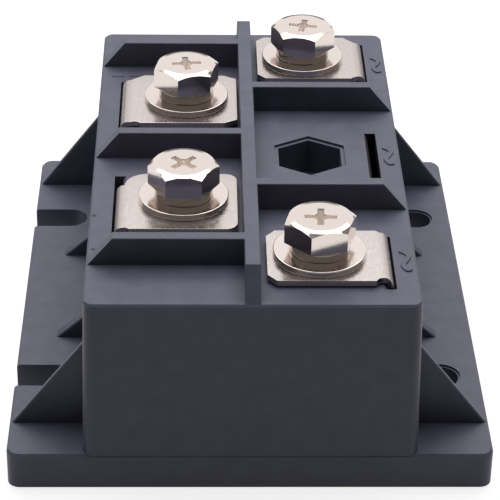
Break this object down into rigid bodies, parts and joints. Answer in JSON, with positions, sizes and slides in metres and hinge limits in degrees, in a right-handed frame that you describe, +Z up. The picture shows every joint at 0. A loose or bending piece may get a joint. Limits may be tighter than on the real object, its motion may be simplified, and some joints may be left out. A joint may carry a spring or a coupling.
{
  "type": "bridge rectifier module",
  "caption": "Power bridge rectifier with screw terminals in walled bays on a tall moulded housing, and a flanged metal base with round holes and open slots for fixing.",
  "frame": {"origin": "centre of the module on the underside of its base plate", "axes": "+X across the module towards the terminals for alternating current, +Y along it towards the far end of the picture, +Z up towards the terminals"},
  "size_m": [0.0764, 0.095, 0.0424],
  "materials": {
    "housing_plastic": "matte, fine moulded texture",
    "plated_copper": "nickel-plated copper, faintly brushed",
    "plated_steel": "bright nickel plate",
    "bare_copper": "bare copper",
    "alumina": "plain white ceramic",
    "silicon": "smooth grey chip",
    "silicone": "soft gel"
  },
  "bodies": {
    "root": {"housing": "housing_plastic", "base_plate": "plated_copper", "terminal_ac_front": "plated_copper", "screw_ac_front": "plated_steel", "lock_washer_ac_front": "plated_steel", "flat_washer_ac_front": "plated_steel", "nut_ac_front": "plated_steel", "pad_ac_front": "bare_copper", "terminal_ac_rear": "plated_copper", "screw_ac_rear": "plated_steel", "lock_washer_ac_rear": "plated_steel", "flat_washer_ac_rear": "plated_steel", "nut_ac_rear": "plated_steel", "pad_ac_rear": "bare_copper", "terminal_dc_negative": "plated_copper", "screw_dc_negative": "plated_steel", "lock_washer_dc_negative": "plated_steel", "flat_washer_dc_negative": "plated_steel", "nut_dc_negative": "plated_steel", "pad_dc_negative": "bare_copper", "terminal_dc_positive": "plated_copper", "screw_dc_positive": "plated_steel", "lock_washer_dc_positive": "plated_steel", "flat_washer_dc_positive": "plated_steel", "nut_dc_positive": "plated_steel", "pad_dc_positive": "bare_copper", "ceramic_tile_front": "alumina", "ceramic_tile_rear": "alumina", "diode_chip_ac_front_to_positive": "silicon", "link_ac_front_to_positive": "bare_copper", "diode_chip_ac_rear_to_positive": "silicon", "link_ac_rear_to_positive": "bare_copper", "diode_chip_negative_to_ac_front": "silicon", "link_negative_to_ac_front": "bare_copper", "diode_chip_negative_to_ac_rear": "silicon", "link_negative_to_ac_rear": "bare_copper", "silicone_gel": "silicone"}
  },
  "joints": []
}
